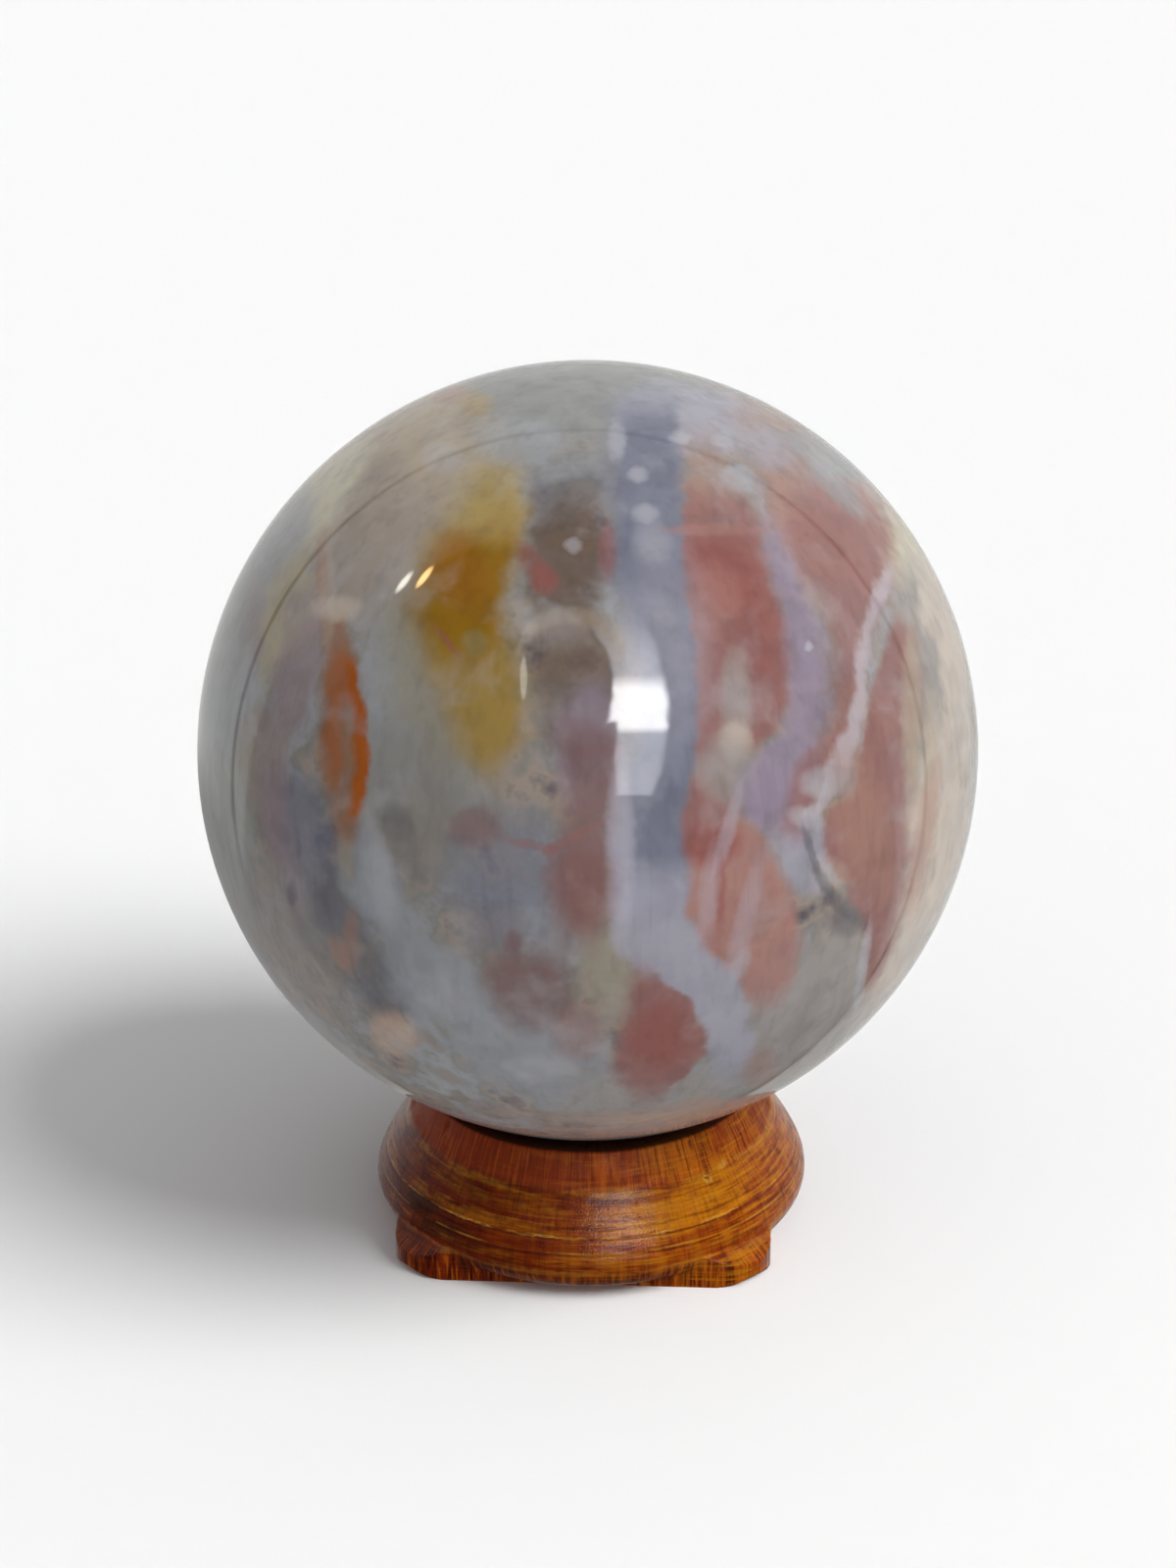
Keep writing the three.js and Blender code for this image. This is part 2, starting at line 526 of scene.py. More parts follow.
# Single stains and bright places: along the unrolled front, height, half sizes, turn, colour, strength
stains = [
    (-17.5, 6.3, 2.6, 0.75, 8, dark_stain_and_shade, 0.85),
    (-14.0, 5.2, 2.8, 0.7, 14, dark_stain_and_shade, 0.70),
    (-10.5, 4.7, 2.4, 0.5, 8, dark_stain_and_shade, 0.45),
    (-11.0, 9.3, 2.5, 0.6, -6, dark_stain_and_shade, 0.30),
    (4.5, 10.2, 3.2, 0.5, 0, dark_stain_and_shade, 0.35),
    (9.5, 8.2, 6.5, 1.3, 0, golden, 0.60),
    (16.0, 9.2, 4.0, 1.6, 0, golden, 0.55),
    (0.5, 12.6, 1.6, 1.3, 0, red_brown, 0.55),
    (-4.5, 12.8, 0.9, 1.4, 0, red_brown, 0.55),
    (3.0, 12.7, 1.0, 1.2, 0, bright_orange, 0.55),
    (12.0, 13.0, 4.0, 1.6, 0, golden, 0.50),
    (14.8, 10.3, 0.55, 0.35, 20, pale_wear_and_highlight, 0.85),
    (14.8, 10.35, 0.28, 0.16, 20, dark_stain_and_shade, 0.70),
    (17.4, 10.9, 0.6, 0.25, 10, pale_wear_and_highlight, 0.65),
]
for along, up, half_along, half_up, turn, stain_colour, strength in stains:
    mask = ragged_unrolled.patch(along, up, half_along, half_up, turn, 0.6, strength)
    colour = colour.painted(stain_colour, mask)

# The gouge lines are painted darker, as painted shade in the grooves, and a pale line just above each is a
# painted highlight on its edge. Dark pores run along the fibres
for groove_height, depth, half_width in lathe_grooves:
    near = (height - groove_height).sum("ABSOLUTE")
    colour = colour.painted(dark_stain_and_shade, near.fade(half_width * 1.1, 0.02) * min(depth * 7, 0.55))
    above = (height - groove_height - half_width * 2.0).sum("ABSOLUTE")
    light = above.fade(0.14, 0.02) * streaky.fade(0.45, 0.6) * min(depth * 7, 0.6)
    colour = colour.painted(pale_wear_and_highlight, light)
for crack_angle, low, high, depth in neck_cracks:
    middle = (low + high) / 2
    mask = unrolled.patch(math.radians(crack_angle) * circle, middle, 0.16, (high - low) / 2, 0, 0.4)
    colour = colour.painted(crack_black, mask * 0.85)
pores = place.vector("MULTIPLY", (1, 1, 0.16)).grain(5.5, 2, 0.5)
colour = colour.painted(dark_stain_and_shade, pores.fade(0.655, 0.74) * 0.55)
flecks = place.vector("MULTIPLY", (1, 1, 1.8)).grain(3.2, 3, 0.7)
colour = colour.painted(pale_wear_and_highlight, flecks.fade(0.66, 0.76) * streaky.fade(0.46, 0.62) * 0.5)

# Blotches in the varnish, upright fibres on the neck and the foot, and turned streaks round the ring
blotches = place.grain(0.5, 4, 0.6)
colour = colour.toned(blotch_tint, blotches.fade(0.52, 0.70, 0, 0.45))
hairs = around.vector("ADD", place.vector("MULTIPLY", (0, 0, 0.06))).grain(3.6, 3, 0.65)
off_ring = height.fade(10.4, 11.4).sum("MAXIMUM", height.fade(3.6, 2.6))
colour = colour.toned(fibre_tint, hairs.fade(0.48, 0.64) * (off_ring * 0.55 + 0.3))
colour = colour.painted(fibre_orange, hairs.fade(0.48, 0.34) * off_ring * 0.55)
turned = around.scaled(0.17).vector("ADD", place.vector("MULTIPLY", (0, 0, 2.6))).grain(1.0, 5, 0.7)
# The golden turned streaks are real, and they are painted stronger on the lit right side as painted light
colour = colour.painted(turned_gold, turned.fade(0.50, 0.64) * (towards_lit_right * 0.45 + 0.05))
colour = colour.toned(turned_tint, turned.fade(0.50, 0.36) * (1 - off_ring * 0.7) * 0.6)
# The neck is painted redder, less so towards the right, which is kept lighter as a painted lit side
on_neck = height.fade(10.5, 11.6) * (1 - towards_lit_right * 0.7)
colour = colour.painted(neck_orange, on_neck * 0.5)
on_underside = height.fade(0.06, 0.0)
colour = colour.painted(bare_underside, on_underside * 0.8)
# The seat under the ball is painted dark brown: painted shade where the ball hides it from the light, over
# darker bare wood
in_seat_under_ball = reach.fade(18.05, 17.7) * height.fade(9.0, 10.0)
colour = colour.painted(seat_shade_brown, in_seat_under_ball * 0.8)
colour.into(wood_shader.inputs["Base Color"])

# The varnish is glossy on the ring, duller where it is blotched, and dry on the neck
rough = 0.10 + blotches.fade(0.35, 0.75, 0.0, 0.20) + height.fade(10.6, 11.4) * 0.35 + in_seat_under_ball * 0.2
rough.into(wood_shader.inputs["Roughness"])
turning_lines = place.vector("MULTIPLY", (0.12, 0.12, 1)).grain(2.6, 3, 0.6)
relief = fine_fibre * 0.35 + pores.fade(0.74, 0.62) * 0.25 + turning_lines * 0.5 + flecks * 0.2
bump = start.node("Bump", {}, {"Height": relief, "Strength": 0.7, "Distance": 0.13 * mm}, "Normal")
bump.into(wood_shader.inputs["Normal"])

stand = add_object("turned_stand_wood", turned_stand_mesh())
stand.data.materials.append(wood)
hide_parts("turned_stand")
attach(stand, "root")


# The ball is one piece of banded jasper, ground round and polished to a high gloss.
# It is loose and rests on the seat's inner edge. Where quartz grew in gaps, the polish has small pits.
ball_radius = (ball_high.x - ball_low.x) / mm / 2
ball_edge_steps = 120


def place_on_ball(across, up):
    """The spot that the camera sees so many millimetres across and up from the ball's middle."""
    towards = ball_radius
    for _ in range(12):
        shrink = (camera_distance - towards) / camera_distance
        towards = math.sqrt(max(ball_radius ** 2 - (across ** 2 + up ** 2) * shrink ** 2, 0))
    shrink = (camera_distance - towards) / camera_distance
    spot = seen_right * across * shrink + seen_up * up * shrink + to_camera * towards
    return spot.normalized()


# Pits: across and up as the camera sees them, half width, depth
pits = [
    (24.4, -3.4, 1.7, 0.10),
    (23.0, -6.4, 0.8, 0.06),
    (27.0, -17.9, 1.6, 0.07),
    (-8.6, -38.4, 1.0, 0.08),
    (-3.9, -39.2, 0.9, 0.08),
]


def polished_ball_mesh():
    """The ball as an even net of squares, with its pits."""
    shape = bmesh.new()
    bmesh.ops.create_cube(shape, size=2)
    bmesh.ops.subdivide_edges(shape, edges=shape.edges, cuts=ball_edge_steps - 1, use_grid_fill=True)
    spots = [(place_on_ball(across, up), half, depth) for across, up, half, depth in pits]
    for vertex in shape.verts:
        even = Vector([math.tan(value * math.pi / 4) for value in vertex.co])
        out = even.normalized()
        radius = ball_radius
        for spot, half, depth in spots:
            away = (out - spot).length * ball_radius / half
            if away < 1.6:
                rough = 0.6 + 0.8 * noise.noise(out * ball_radius * 1.7)
                radius -= depth * max(rough, 0) * math.exp(-away * away * 1.5)
        vertex.co = ball_centre + out * radius * mm
    for face in shape.faces:
        face.smooth = True
    mesh = bpy.data.meshes.new("stone_sphere")
    shape.to_mesh(mesh)
    shape.free()
    return mesh


stone, start, stone_shader = new_material("banded_stone_polished", Roughness=0.04, IOR=1.54)
place = start.node("TexCoord", {}, {}, "Object")
place = place.vector("SUBTRACT", tuple(ball_centre)).scaled(1 / mm)
depth = place.along(tuple(to_camera))
shrink = start.node("Math", {"operation": "DIVIDE"}, {0: camera_distance, 1: camera_distance - depth})
front = depth.fade(-3.0, 6.0)

# The figure is set out on a flat sheet, across and up in millimetres as the camera sees the ball
sheet = start.node("CombineXYZ", {}, {
    "X": place.along(tuple(seen_right)) * shrink,
    "Y": place.along(tuple(seen_up)) * shrink,
})


def stirred_sheet(scale, reach, detail):
    """The flat sheet, its places moved at random by a figure that goes on round the ball."""
    push = place.grain(scale, detail, 0.55, "Color").vector("SUBTRACT", (0.5, 0.5, 0.5))
    return sheet.vector("ADD", push.vector("MULTIPLY", (reach, reach, 0)))


loose = stirred_sheet(0.16, 5.0, 3)
close = stirred_sheet(0.36, 2.0, 3)
tight = stirred_sheet(0.9, 0.7, 3)

# The colours of the stone
cap_grey = srgb(135, 136, 135)
beige = srgb(166, 152, 132)
mauve_grey = srgb(146, 134, 124)
cream_green = srgb(190, 183, 160)
blue_grey = srgb(151, 153, 156)
straw = srgb(162, 152, 126)
mauve = srgb(142, 126, 130)
green_grey = srgb(150, 152, 148)
mustard = srgb(132, 94, 2)
olive = srgb(132, 118, 76)
pale_yellow = srgb(158, 134, 72)
tail_yellow = srgb(146, 118, 52)
orange = srgb(160, 80, 8)
lens_brown = srgb(136, 98, 74)
salmon = srgb(156, 120, 106)
peach = srgb(196, 168, 146)
slate = srgb(90, 87, 92)
slate_lavender = srgb(110, 113, 130)
lavender = srgb(154, 153, 165)
purple_grey = srgb(140, 126, 144)
pale_lavender = srgb(176, 172, 184)
milky = srgb(174, 174, 180)
pale_vein = srgb(174, 163, 168)
dusty_red = srgb(138, 96, 92)
strong_red = srgb(138, 80, 74)
salmon_pink = srgb(158, 115, 107)
brown_grey = srgb(94, 75, 61)
brown_mauve = srgb(118, 90, 88)
olive_beige = srgb(144, 136, 122)
field_grey = srgb(130, 127, 122)
cloud_grey = srgb(146, 149, 155)
dark_slate = srgb(101, 100, 107)
warm_grey = srgb(148, 142, 138)
cream = srgb(192, 178, 164)
milky_wisp = srgb(170, 168, 171)
streak_tint = srgb(206, 200, 202)
mottle_tint = srgb(196, 190, 192)

# Broad clouds on the side that the camera sees:
# colour, across, up, half width, half height, turn, softness, strength
clouds = [
    (cap_grey, -3, 37.5, 12, 6, 4, 0.5, 0.95),
    (beige, -19.5, 31, 8.5, 7.5, 30, 0.5, 0.95),
    (mauve_grey, -22, 21, 6.5, 8, 0, 0.5, 0.9),
    (cream_green, -28.5, 27, 3.4, 6, -38, 0.5, 0.9),
    (blue_grey, -33, 21, 2.4, 6.5, -28, 0.5, 0.9),
    (straw, -31.6, 14.0, 2.6, 6.5, -14, 0.5, 0.8),
    (mauve, -35.6, 12.5, 1.3, 5, -12, 0.5, 0.7),
    (mauve, -29.8, 8.5, 1.9, 6.5, -8, 0.5, 0.75),
    (green_grey, -38, -5, 3, 11, 6, 0.5, 0.9),
    (blue_grey, -38, 6, 2.2, 7, -8, 0.5, 0.8),
    (mauve_grey, -33, -3, 2.5, 7, 8, 0.5, 0.7),
    (slate_lavender, -29.5, -10, 3, 7.5, 12, 0.5, 0.7),
    (blue_grey, -20.2, 5, 3.2, 9, 0, 0.6, 0.6),
    (field_grey, -18, -5.5, 6.5, 8, 0, 0.5, 0.8),
    (dark_slate, -26.4, -16.5, 3.2, 4.6, 15, 0.6, 0.75),
    (warm_grey, -31, -20, 3.6, 8, 28, 0.6, 0.7),
    (dark_slate, -21.6, -24.3, 2.8, 3, 20, 0.6, 0.75),
    (cloud_grey, -21.8, -14, 2.2, 6, 18, 0.6, 0.85),
    (cloud_grey, -15.5, -24.5, 6.2, 3.6, -42, 0.5, 0.85),
    (cloud_grey, -6, -31, 7, 4, -14, 0.6, 0.8),
    (slate_lavender, -8, -13.5, 5.5, 6, 0, 0.7, 0.6),
    (brown_mauve, -6, -24.5, 3.6, 3.2, -20, 0.7, 0.8),
    (brown_grey, -2.2, 20, 4.8, 6.5, 0, 0.4, 0.85),
    (brown_grey, -1.4, 8, 4.2, 7.5, 0, 0.5, 0.7),
    (purple_grey, 0.2, 0.6, 2.8, 6, 0, 0.5, 0.6),
    (olive_beige, 2.2, -22, 3, 5, 10, 0.5, 0.85),
    (lavender, 10.6, 34.6, 6.6, 3.4, -8, 0.4, 0.9),
    (salmon, 19.8, 32.6, 4.6, 3.4, -32, 0.6, 0.5),
    (blue_grey, 25.6, 30, 4.5, 2.6, -42, 0.5, 0.8),
    (cream_green, 32, 22, 2.6, 6, 35, 0.4, 0.95),
    (warm_grey, 34.5, 11, 3.0, 8, 8, 0.5, 0.85),
    (cream, 37.4, 12.6, 2.0, 10, 8, 0.5, 0.8),
    (cream, 36.4, -8, 3, 10, -6, 0.5, 0.8),
    (cream, 31.5, -20.5, 3, 8, -28, 0.5, 0.8),
    (warm_grey, 24.8, -25, 4.4, 7, -20, 0.5, 0.9),
    (warm_grey, 19, -30.5, 5, 4.4, 0, 0.6, 0.85),
    (lavender, 22.6, -11, 3, 3.6, 0, 0.5, 0.8),
    (warm_grey, 9, -37, 12, 3, 4, 0.5, 0.8),
    (olive_beige, -29.8, -31, 2, 8, 42, 0.6, 0.6),
]

# Bands and masses with drawn edges: colour, softness of the left and of the right edge in mm,
# strength, and from the top down their height, left edge and right edge
bands = [
    (pale_yellow, 4.0, 2.6, 0.8, [
        (31, -12.2, -6.8), (28, -12.6, -6.6), (25, -14, -6.6), (22.6, -16, -7), (20, -17.6, -7.6)]),
    (olive, 5.0, 3.5, 0.6, [(20, -17, -8), (15, -20, -8.6), (10, -20.2, -8), (5, -19, -7), (1, -17, -7.5)]),
    (tail_yellow, 3.0, 3.5, 0.85, [
        (14, -18, -8.6), (8.8, -16.6, -7.4), (5, -14.8, -6.4), (1.8, -13.6, -7), (-1.2, -12.6, -9),
        (-3, -11.6, -10)]),
    (mustard, 3.4, 2.4, 0.95, [
        (24.2, -10, -7), (22, -15, -7.2), (18, -17.6, -8.2), (15, -18.0, -8.8), (12, -16.8, -9.4),
        (9.4, -15.4, -10)]),
    (slate, 2.4, 2.0, 0.7, [(29.6, -6.6, 1.8), (27, -6.4, 2), (25.2, -6, 2)]),
    (slate_lavender, 3.0, 1.2, 0.92, [
        (36, 2.6, 9), (30, 2.1, 9.7), (25, 2.2, 10.1), (18.5, 2.4, 10.5), (14.4, 3.9, 11.1),
        (10.4, 5.0, 11.8), (4.7, 5.4, 11.9), (0.7, 4.8, 11.8), (-4.4, 3.2, 10.8), (-12, 2.7, 10.7),
        (-17, 2.5, 10.6)]),
    (dusty_red, 0.9, 2.2, 0.9, [
        (27.4, 10.1, 15.5), (25, 10.0, 17.3), (21, 9.9, 18.4), (17.4, 10.3, 18.9), (13, 10.9, 20.8),
        (7.8, 11.2, 21.6), (3, 11.4, 20.2), (0.6, 11.3, 17.6), (-2.4, 11, 15.2), (-5, 10.4, 15.4),
        (-8.4, 9.8, 15.6), (-11.6, 10.2, 15)]),
    (salmon, 2.4, 2.4, 0.55, [(32.6, 10, 13.8), (29.6, 10.1, 14.4), (26.6, 10.1, 15.5)]),
    (salmon_pink, 3.2, 2.6, 0.75, [
        (29, 17, 24), (26.5, 18.4, 30), (23, 18.6, 31.6), (19.5, 20.4, 31.8), (16, 22.4, 31.2)]),
    (dusty_red, 3.0, 1.8, 0.8, [
        (27, 22, 29.4), (23.1, 21.4, 31.2), (19.5, 22.2, 31.5), (15.8, 24, 30.8), (11.9, 25, 29.4),
        (7.8, 25.2, 28.5), (2.5, 25, 27.6), (-1, 24.4, 27)]),
    (purple_grey, 1.6, 2.2, 0.8, [
        (23.6, 18, 19.8), (19.5, 18.5, 21.6), (15.8, 19.8, 23), (12, 20.7, 24.4), (6.8, 21, 24.9),
        (2.5, 20.4, 24.6), (-2.4, 16.2, 23.2), (-6.6, 16.8, 22.4), (-9, 18, 23.4)]),
    (dusty_red, 1.6, 1.6, 0.75, [
        (1.2, 23.6, 26.8), (-1.6, 21.6, 26), (-5, 20.8, 23.6), (-8.6, 20.6, 22.6)]),
    (dusty_red, 1.0, 1.8, 0.88, [
        (14, 31.9, 32.6), (11.8, 31.2, 33.8), (7.8, 29.9, 34.2), (4, 28.8, 34.2), (0.7, 28.2, 34),
        (-4.2, 27.2, 33.6), (-7.5, 24.4, 33.1), (-10.8, 24.8, 33.4), (-15, 27.2, 33), (-19, 28.8, 32),
        (-22.2, 28.8, 30.8), (-25, 28.4, 29.6)]),
    (pale_vein, 0.8, 0.8, 0.8, [
        (19, 31.0, 31.9), (16.9, 29.9, 31.4), (14.7, 29.0, 30.4), (12.6, 28.3, 29.7), (9.9, 27.8, 29.1),
        (4.6, 27.5, 28.8), (2.5, 26.8, 28.5), (-1.9, 24.9, 27.3), (-4.4, 23.8, 25.8), (-7, 22.1, 23.7)]),
    (salmon_pink, 1.0, 1.6, 0.85, [
        (-7.2, 13.8, 17), (-9.8, 11, 18.8), (-12.6, 10.6, 20.4), (-15.6, 10.2, 21.3), (-18.7, 10.8, 22),
        (-21.5, 12.6, 21.6), (-23.8, 15.2, 20.9), (-26.4, 16.4, 19.8)]),
    (lavender, 1.8, 1.4, 0.85, [
        (-12.3, 2.8, 10.6), (-16.6, 2.8, 10.4), (-20.6, 3.3, 12.4), (-22.6, 5.1, 14.3), (-24.8, 8.1, 16),
        (-28.5, 11.4, 16.8), (-31.4, 12.4, 17.2), (-34, 13, 16.4)]),
    (dusty_red, 2.0, 0.9, 0.9, [
        (-22.6, 5.0, 6.8), (-24.8, 4.4, 9.2), (-27.3, 3.9, 11.4), (-29.4, 3.3, 12.3), (-31.9, 2.7, 11.7),
        (-33.9, 2.9, 10.2), (-35.8, 4.2, 8)]),
    (brown_mauve, 3.0, 1.6, 0.8, [
        (3, -3.6, 2.4), (-3.4, -2.6, 3.2), (-8.5, -2.9, 3), (-13.6, -3.6, 2.3), (-17.3, -3, 2),
        (-19.7, -2.4, 1.4)]),
    (lens_brown, 1.4, 1.2, 0.85, [
        (14.4, -27.0, -25.4), (10.9, -27.4, -24.4), (7.8, -27.6, -23.7), (2.7, -27.5, -23.2),
        (-1.4, -27.4, -23.1), (-3.9, -27.1, -23.4), (-6.2, -26.4, -23.8), (-8, -26, -24),
        (-10.4, -25.6, -24.4)]),
    (orange, 1.6, 1.2, 0.55, [
        (10.9, -26.4, -25.2), (8, -27.0, -24.6), (5.6, -27.0, -25.0), (3.4, -27.1, -25.6),
        (-0.4, -27.1, -25.7), (-3.6, -26.7, -25.8)]),
    (orange, 0.8, 0.6, 0.95, [
        (9.4, -25.2, -24.2), (6, -24.9, -23.6), (3, -24.3, -23.0), (0, -24.2, -22.9),
        (-3.4, -24.5, -23.3), (-6.8, -25, -23.9)]),
    (olive_beige, 1.0, 1.0, 0.8, [(-9.4, -25.6, -24.6), (-12, -25.4, -24.4), (-13.8, -25, -24.5)]),
]

# Small spots, streaks and flecks, set out as the clouds are
marks = [
    (strong_red, 14.2, 18.6, 3.2, 3.4, 0, 0.7, 0.7),
    (strong_red, 17.5, 11.5, 2.2, 4.4, 0, 0.8, 0.5),
    (salmon_pink, 13.3, 15.8, 2.0, 3.0, 0, 0.7, 0.5),
    (salmon_pink, 13, 23, 4.4, 0.5, 0, 0.7, 0.5),
    (strong_red, 13.0, -9.6, 2.4, 1.9, 30, 0.7, 0.8),
    (warm_grey, 15.4, 5.0, 1.2, 4.4, 0, 0.8, 0.7),
    (cream, 15.4, 1.0, 1.2, 1.6, 0, 0.8, 0.6),
    (warm_grey, 14.6, -2.0, 2.4, 2.8, 0, 0.7, 0.75),
    (pale_lavender, 3.4, -11, 1.1, 7, 0, 0.8, 0.6),
    (pale_lavender, 8.0, 10.5, 3.4, 7.5, 0, 0.9, 0.3),
    (milky, 5.2, 28.7, 0.8, 0.6, 0, 0.8, 0.5),
    (milky, 6.0, 24.7, 1.0, 0.7, 0, 0.8, 0.5),
    (milky, 6.6, 21.6, 1.4, 1.6, 0, 0.9, 0.35),
    (milky, 3.0, 32.2, 0.7, 1.6, 0, 0.8, 0.5),
    (milky, 9.6, 32.5, 0.9, 0.6, 0, 0.8, 0.5),
    (milky, 14.0, 32.3, 0.9, 0.6, 0, 0.8, 0.5),
    (milky, 15.6, 28.3, 1.2, 0.9, 0, 0.9, 0.45),
    (strong_red, -4.5, 17.7, 1.1, 1.2, 0, 0.7, 0.7),
    (strong_red, -5.8, 19.6, 0.9, 1.8, 32, 0.8, 0.45),
    (strong_red, 2.0, 20.6, 0.7, 2.2, 0, 0.8, 0.5),
    (milky, -1.5, 21.4, 0.7, 0.6, 0, 0.8, 0.4),
    (dark_slate, -4.5, 26.9, 0.25, 0.25, 0, 0.6, 0.8),
    (orange, -13.2, 18.6, 2.0, 2.8, 20, 1.0, 0.24),
    (pale_yellow, -9.6, 24.6, 2.2, 2.6, 0, 0.8, 0.5),
    (olive, -11.7, 11.2, 1.0, 1.0, 0, 0.9, 0.7),
    (strong_red, -14.6, 11.4, 0.24, 1.7, 38, 0.7, 0.6),
    (beige, -27.0, 17, 0.6, 4.4, 0, 0.8, 0.6),
    (orange, -27.6, 18, 0.5, 3.4, 0, 0.9, 0.25),
    (cream, -26, 14.8, 1.9, 1.0, 0, 0.8, 0.6),
    (milky, -15.0, 30.4, 1.6, 1.2, 0, 0.9, 0.3),
    (salmon, -14.4, 37.1, 1.4, 0.8, 0, 0.9, 0.6),
    (pale_yellow, -11.7, 36, 1.2, 1.0, 0, 0.9, 0.5),
    (blue_grey, -7.5, 32.2, 3.6, 2.0, 0, 0.8, 0.7),
    (brown_mauve, -11.5, -8.0, 2.3, 1.7, 0, 0.7, 0.6),
    (dusty_red, -6.0, -9.7, 1.9, 0.35, -10, 0.9, 0.5),
    (dusty_red, -1.6, -9.0, 2.9, 0.35, 28, 0.9, 0.5),
    (dusty_red, -3.9, -10.3, 0.6, 0.6, 0, 0.8, 0.6),
    (dusty_red, -0.7, -13.8, 2.6, 3.6, 0, 0.9, 0.5),
    (brown_mauve, -7.7, -19.8, 0.8, 0.8, 0, 0.8, 0.6),
    (dusty_red, -1.0, -29.2, 1.9, 2.2, 0, 0.8, 0.5),
    (strong_red, 7.8, -29.8, 2.4, 2.4, 0, 0.9, 0.6),
    (slate, -20, -7.5, 1.1, 1.6, 30, 0.9, 0.4),
    (mauve, -32.8, -2.5, 1.2, 5.0, 0, 0.8, 0.6),
    (mauve, -31.6, -10, 1.0, 5.4, 12, 0.8, 0.5),
    (dark_slate, -30.7, -14.8, 0.4, 1.0, 0, 0.8, 0.6),
    (peach, -20.2, -29.3, 2.1, 1.5, -32, 0.7, 0.6),
    (salmon, -24.6, -19.6, 0.7, 2.4, 0, 0.8, 0.5),
    (salmon, -25.8, -21, 0.6, 1.4, 20, 0.8, 0.5),
    (milky, -21.6, -12.6, 1.0, 3.6, 12, 0.9, 0.4),
    (milky, -14.8, -25.6, 2.6, 1.2, -30, 0.9, 0.35),
    (milky, -5.2, -33.2, 2.8, 1.0, 0, 0.9, 0.35),
    (milky, 24.4, -3.3, 1.7, 1.2, 0, 0.8, 0.6),
    (milky, 22.6, -7.0, 1.4, 0.8, -20, 0.8, 0.5),
    (milky, 22.9, 10.9, 0.35, 0.45, 0, 0.7, 0.7),
    (purple_grey, 18, -4.2, 2.1, 2.2, 0, 0.8, 0.6),
    (pale_lavender, 14.6, -8.2, 0.5, 3.2, -16, 1.0, 0.4),
    (strong_red, 13.8, -14.6, 0.45, 3.0, 0, 0.8, 0.55),
    (pale_lavender, 12.6, -15.0, 0.7, 3.4, -6, 1.0, 0.3),
    (pale_lavender, 16.2, -18.2, 0.7, 5.0, -14, 1.0, 0.3),
    (milky, 15.9, -22.2, 0.6, 1.2, -24, 1.0, 0.4),
    (cream, 25.2, -12.6, 1.4, 1.0, -40, 1.0, 0.3),
    (slate, 23.2, -10.4, 0.3, 2.2, 18, 0.9, 0.5),
    (slate, 24.6, -13.8, 0.45, 2.2, 32, 0.9, 0.45),
    (slate, 26.6, -16.2, 0.6, 1.9, 46, 1.0, 0.45),
    (slate, 27.0, -17.8, 1.7, 1.0, 0, 0.9, 0.5),
    (milky, 28.6, -22.4, 0.4, 3.4, -10, 0.8, 0.6),
    (salmon, 18.0, -33.0, 1.3, 1.6, -30, 0.8, 0.5),
    (beige, 33.6, 4.0, 0.8, 6.5, 0, 0.8, 0.6),
    (beige, 35.6, -2.6, 0.6, 7.0, 0, 0.8, 0.5),
    (salmon_pink, 34.9, -9.0, 0.8, 6.0, -10, 0.8, 0.5),
    (salmon, 28.6, -7.8, 2.2, 5.4, 14, 0.9, 0.6),
    (blue_grey, 25.8, 27.6, 1.0, 3.4, 40, 0.7, 0.6),
    (lavender, 18.8, 31.4, 2.2, 1.6, -20, 0.8, 0.6),
]


def lay_patches(layer, given):
    """Lays soft ellipses over the colour below, one after another."""
    laid = given["colour"]
    for patch_colour, across, up, half_across, half_up, turn, soft, strength in layer:
        square = given["sheet"].ellipse(across, up, half_across, half_up, turn) + given["fray"]
        mask = square.fade((1 + soft) ** 2, max(1 - soft, 0) ** 2, 0, strength)
        laid = laid.painted(patch_colour, mask)
    return laid


def lay_bands(layer, given):
    """Lays bands with drawn left and right edges over the colour below."""
    laid = given["colour"]
    sheet_half = 42

    def on_sheet(value):
        """A place across or up as a share of the whole sheet, as the curves of the edges need it."""
        return (value + sheet_half) * (0.5 / sheet_half)

    level = on_sheet(given["sheet"].part("Y"))
    sideways = on_sheet(given["sheet"].part("X") + given["fray"] * 0.7)
    for band_colour, left_soft, right_soft, strength, rows in layer:
        edges = []
        for side in (1, 2):
            points = [(on_sheet(row[0]), on_sheet(row[side])) for row in reversed(rows)]
            edges.append(laid.node("FloatCurve", {"points": points}, {"Value": level}))
        left_half, right_half = left_soft * 0.33 / sheet_half, right_soft * 0.33 / sheet_half
        half_soft = left_half + right_half
        top, bottom = on_sheet(rows[0][0]), on_sheet(rows[-1][0])
        mask = (sideways - edges[0]).fade(-left_half, left_half)
        mask = mask * (edges[1] - sideways).fade(-right_half, right_half)
        mask = mask * level.fade(top + half_soft, top - half_soft)
        mask = mask * level.fade(bottom - half_soft, bottom + half_soft, 0, strength)
        laid = laid.painted(band_colour, mask)
    return laid


def figure_layer(name, lay, layer, given):
    """Puts one layer of figure in a group of nodes of its own, and gives the colour that it makes."""
    group = bpy.data.node_groups.new(name, "ShaderNodeTree")
    kinds = {"sheet": "NodeSocketVector", "fray": "NodeSocketFloat", "colour": "NodeSocketColor"}
    for socket, kind in kinds.items():
        group.interface.new_socket(socket, in_out="INPUT", socket_type=kind)
    group.interface.new_socket("colour", in_out="OUTPUT", socket_type=kinds["colour"])
    came_in = group.nodes.new("NodeGroupInput")
    result = lay(layer, {socket: Wire(group, came_in.outputs[socket]) for socket in kinds})
    result.into(group.nodes.new("NodeGroupOutput").inputs["colour"])
    return start.node("Group", {"node_tree": group}, given, "colour")


